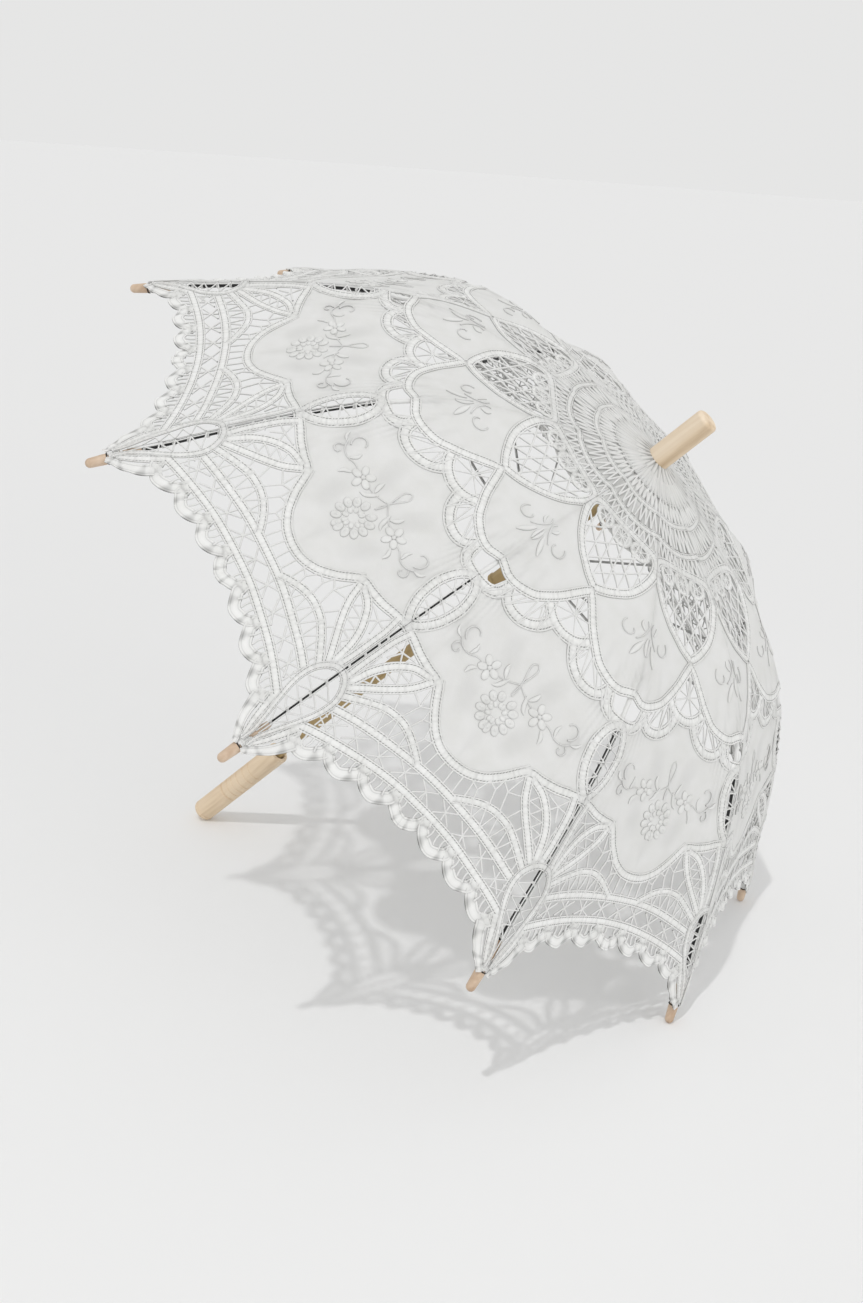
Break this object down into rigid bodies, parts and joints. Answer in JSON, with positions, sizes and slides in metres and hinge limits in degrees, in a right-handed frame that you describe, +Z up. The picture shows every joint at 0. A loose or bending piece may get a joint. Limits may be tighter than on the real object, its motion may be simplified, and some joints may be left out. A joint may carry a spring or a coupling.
{
  "type": "lace parasol",
  "caption": "Open lace parasol with a curved-rib frame that folds by a sliding runner, a turned wooden handle and ferrule, lying on its handle and two rib tips.",
  "frame": {"origin": "on the floor under the middle of the open parasol's bounding box, as it lies on the end of its handle and two rib tips", "axes": "+Z up from the floor; the shaft rises from the handle towards +X at 44.9 degrees; +Y across, the canopy's width"},
  "size_m": [0.5542, 0.795, 0.5535],
  "materials": {
    "pale_wood": "smooth oiled",
    "shaft_wood": "smooth",
    "tip_wood": "smooth",
    "black_steel": "black enamel",
    "bright_steel": "bright wire",
    "white_lace": "woven cotton and tape lace"
  },
  "bodies": {
    "frame": {"shaft": "shaft_wood", "handle": "pale_wood", "ferrule": "pale_wood", "stop_pin": "bright_steel", "crown": "shaft_wood", "crown_wire": "bright_steel", "canopy_centre": "white_lace"},
    "runner": {"runner": "shaft_wood", "runner_wire": "bright_steel"},
    "open_catch": {"open_catch": "bright_steel"},
    "shut_catch": {"shut_catch": "bright_steel"},
    "rib_0": {"rib_0": "black_steel", "rib_tip_0": "tip_wood", "canopy_panel_0": "white_lace"},
    "rib_1": {"rib_1": "black_steel", "rib_tip_1": "tip_wood", "canopy_panel_1": "white_lace"},
    "rib_2": {"rib_2": "black_steel", "rib_tip_2": "tip_wood", "canopy_panel_2": "white_lace"},
    "rib_3": {"rib_3": "black_steel", "rib_tip_3": "tip_wood", "canopy_panel_3": "white_lace"},
    "rib_4": {"rib_4": "black_steel", "rib_tip_4": "tip_wood", "canopy_panel_4": "white_lace"},
    "rib_5": {"rib_5": "black_steel", "rib_tip_5": "tip_wood", "canopy_panel_5": "white_lace"},
    "rib_6": {"rib_6": "black_steel", "rib_tip_6": "tip_wood", "canopy_panel_6": "white_lace"},
    "rib_7": {"rib_7": "black_steel", "rib_tip_7": "tip_wood", "canopy_panel_7": "white_lace"},
    "rib_8": {"rib_8": "black_steel", "rib_tip_8": "tip_wood", "canopy_panel_8": "white_lace"},
    "rib_9": {"rib_9": "black_steel", "rib_tip_9": "tip_wood", "canopy_panel_9": "white_lace"},
    "stretcher_0": {"stretcher_0": "bright_steel"},
    "stretcher_1": {"stretcher_1": "bright_steel"},
    "stretcher_2": {"stretcher_2": "bright_steel"},
    "stretcher_3": {"stretcher_3": "bright_steel"},
    "stretcher_4": {"stretcher_4": "bright_steel"},
    "stretcher_5": {"stretcher_5": "bright_steel"},
    "stretcher_6": {"stretcher_6": "bright_steel"},
    "stretcher_7": {"stretcher_7": "bright_steel"},
    "stretcher_8": {"stretcher_8": "bright_steel"},
    "stretcher_9": {"stretcher_9": "bright_steel"}
  },
  "joints": [
    {"name": "runner_slide", "type": "slide", "parent": "frame", "child": "runner", "axis": [-0.7085, 0, -0.7057], "range_m": [0, 0.27487]},
    {"name": "open_catch_press", "type": "slide", "parent": "frame", "child": "open_catch", "axis": [0.7057, 0, -0.7085], "range_m": [0, 0.0026], "stiffness_N_per_m": 600, "springref_m": -0.001},
    {"name": "shut_catch_press", "type": "slide", "parent": "frame", "child": "shut_catch", "axis": [0.7057, 0, -0.7085], "range_m": [0, 0.0026], "stiffness_N_per_m": 600, "springref_m": -0.001},
    {"name": "rib_0_fold", "type": "hinge", "parent": "frame", "child": "rib_0", "pos_m": [0.16132, 0.00278, 0.42567], "axis": [-0.2181, 0.9511, 0.2189], "range_deg": [0, 57.54], "deforming": ["canopy_panel_0"]},
    {"name": "rib_1_fold", "type": "hinge", "parent": "frame", "child": "rib_1", "pos_m": [0.15902, 0.00728, 0.42798], "axis": [-0.5709, 0.5878, 0.5732], "range_deg": [0, 57.54], "deforming": ["canopy_panel_1"]},
    {"name": "rib_2_fold", "type": "hinge", "parent": "frame", "child": "rib_2", "pos_m": [0.15528, 0.009, 0.43173], "axis": [-0.7057, 0, 0.7085], "range_deg": [0, 57.54], "deforming": ["canopy_panel_2"]},
    {"name": "rib_3_fold", "type": "hinge", "parent": "frame", "child": "rib_3", "pos_m": [0.15155, 0.00728, 0.43548], "axis": [-0.5709, -0.5878, 0.5732], "range_deg": [0, 57.54], "deforming": ["canopy_panel_3"]},
    {"name": "rib_4_fold", "type": "hinge", "parent": "frame", "child": "rib_4", "pos_m": [0.14924, 0.00278, 0.43779], "axis": [-0.2181, -0.9511, 0.2189], "range_deg": [0, 57.54], "deforming": ["canopy_panel_4"]},
    {"name": "rib_5_fold", "type": "hinge", "parent": "frame", "child": "rib_5", "pos_m": [0.14924, -0.00278, 0.43779], "axis": [0.2181, -0.9511, -0.2189], "range_deg": [0, 57.54], "deforming": ["canopy_panel_5"]},
    {"name": "rib_6_fold", "type": "hinge", "parent": "frame", "child": "rib_6", "pos_m": [0.15155, -0.00728, 0.43548], "axis": [0.5709, -0.5878, -0.5732], "range_deg": [0, 57.54], "deforming": ["canopy_panel_6"]},
    {"name": "rib_7_fold", "type": "hinge", "parent": "frame", "child": "rib_7", "pos_m": [0.15528, -0.009, 0.43173], "axis": [0.7057, 0, -0.7085], "range_deg": [0, 57.54], "deforming": ["canopy_panel_7"]},
    {"name": "rib_8_fold", "type": "hinge", "parent": "frame", "child": "rib_8", "pos_m": [0.15902, -0.00728, 0.42798], "axis": [0.5709, 0.5878, -0.5732], "range_deg": [0, 57.54], "deforming": ["canopy_panel_8"]},
    {"name": "rib_9_fold", "type": "hinge", "parent": "frame", "child": "rib_9", "pos_m": [0.16132, -0.00278, 0.42567], "axis": [0.2181, 0.9511, -0.2189], "range_deg": [0, 57.54], "deforming": ["canopy_panel_9"]},
    {"name": "stretcher_0_swing", "type": "hinge", "parent": "runner", "child": "stretcher_0", "pos_m": [0.06706, 0.00355, 0.32843], "axis": [0.2181, -0.9511, -0.2189], "range_deg": [0, 49.96]},
    {"name": "stretcher_1_swing", "type": "hinge", "parent": "runner", "child": "stretcher_1", "pos_m": [0.06412, 0.0093, 0.33139], "axis": [0.5709, -0.5878, -0.5732], "range_deg": [0, 49.96]},
    {"name": "stretcher_2_swing", "type": "hinge", "parent": "runner", "child": "stretcher_2", "pos_m": [0.05935, 0.0115, 0.33618], "axis": [0.7057, 0, -0.7085], "range_deg": [0, 49.96]},
    {"name": "stretcher_3_swing", "type": "hinge", "parent": "runner", "child": "stretcher_3", "pos_m": [0.05458, 0.0093, 0.34097], "axis": [0.5709, 0.5878, -0.5732], "range_deg": [0, 49.96]},
    {"name": "stretcher_4_swing", "type": "hinge", "parent": "runner", "child": "stretcher_4", "pos_m": [0.05163, 0.00355, 0.34392], "axis": [0.2181, 0.9511, -0.2189], "range_deg": [0, 49.96]},
    {"name": "stretcher_5_swing", "type": "hinge", "parent": "runner", "child": "stretcher_5", "pos_m": [0.05163, -0.00355, 0.34392], "axis": [-0.2181, 0.9511, 0.2189], "range_deg": [0, 49.96]},
    {"name": "stretcher_6_swing", "type": "hinge", "parent": "runner", "child": "stretcher_6", "pos_m": [0.05458, -0.0093, 0.34097], "axis": [-0.5709, 0.5878, 0.5732], "range_deg": [0, 49.96]},
    {"name": "stretcher_7_swing", "type": "hinge", "parent": "runner", "child": "stretcher_7", "pos_m": [0.05935, -0.0115, 0.33618], "axis": [-0.7057, 0, 0.7085], "range_deg": [0, 49.96]},
    {"name": "stretcher_8_swing", "type": "hinge", "parent": "runner", "child": "stretcher_8", "pos_m": [0.06412, -0.0093, 0.33139], "axis": [-0.5709, -0.5878, 0.5732], "range_deg": [0, 49.96]},
    {"name": "stretcher_9_swing", "type": "hinge", "parent": "runner", "child": "stretcher_9", "pos_m": [0.06706, -0.00355, 0.32843], "axis": [-0.2181, -0.9511, 0.2189], "range_deg": [0, 49.96]}
  ],
  "couplings": [
    {"joint": "rib_0_fold", "follows": "runner_slide", "rad_per_m": 3.6525},
    {"joint": "rib_1_fold", "follows": "runner_slide", "rad_per_m": 3.6525},
    {"joint": "rib_2_fold", "follows": "runner_slide", "rad_per_m": 3.6525},
    {"joint": "rib_3_fold", "follows": "runner_slide", "rad_per_m": 3.6525},
    {"joint": "rib_4_fold", "follows": "runner_slide", "rad_per_m": 3.6525},
    {"joint": "rib_5_fold", "follows": "runner_slide", "rad_per_m": 3.6525},
    {"joint": "rib_6_fold", "follows": "runner_slide", "rad_per_m": 3.6525},
    {"joint": "rib_7_fold", "follows": "runner_slide", "rad_per_m": 3.6525},
    {"joint": "rib_8_fold", "follows": "runner_slide", "rad_per_m": 3.6525},
    {"joint": "rib_9_fold", "follows": "runner_slide", "rad_per_m": 3.6525},
    {"joint": "stretcher_0_swing", "follows": "runner_slide", "rad_per_m": 3.171},
    {"joint": "stretcher_1_swing", "follows": "runner_slide", "rad_per_m": 3.171},
    {"joint": "stretcher_2_swing", "follows": "runner_slide", "rad_per_m": 3.171},
    {"joint": "stretcher_3_swing", "follows": "runner_slide", "rad_per_m": 3.171},
    {"joint": "stretcher_4_swing", "follows": "runner_slide", "rad_per_m": 3.171},
    {"joint": "stretcher_5_swing", "follows": "runner_slide", "rad_per_m": 3.171},
    {"joint": "stretcher_6_swing", "follows": "runner_slide", "rad_per_m": 3.171},
    {"joint": "stretcher_7_swing", "follows": "runner_slide", "rad_per_m": 3.171},
    {"joint": "stretcher_8_swing", "follows": "runner_slide", "rad_per_m": 3.171},
    {"joint": "stretcher_9_swing", "follows": "runner_slide", "rad_per_m": 3.171}
  ]
}
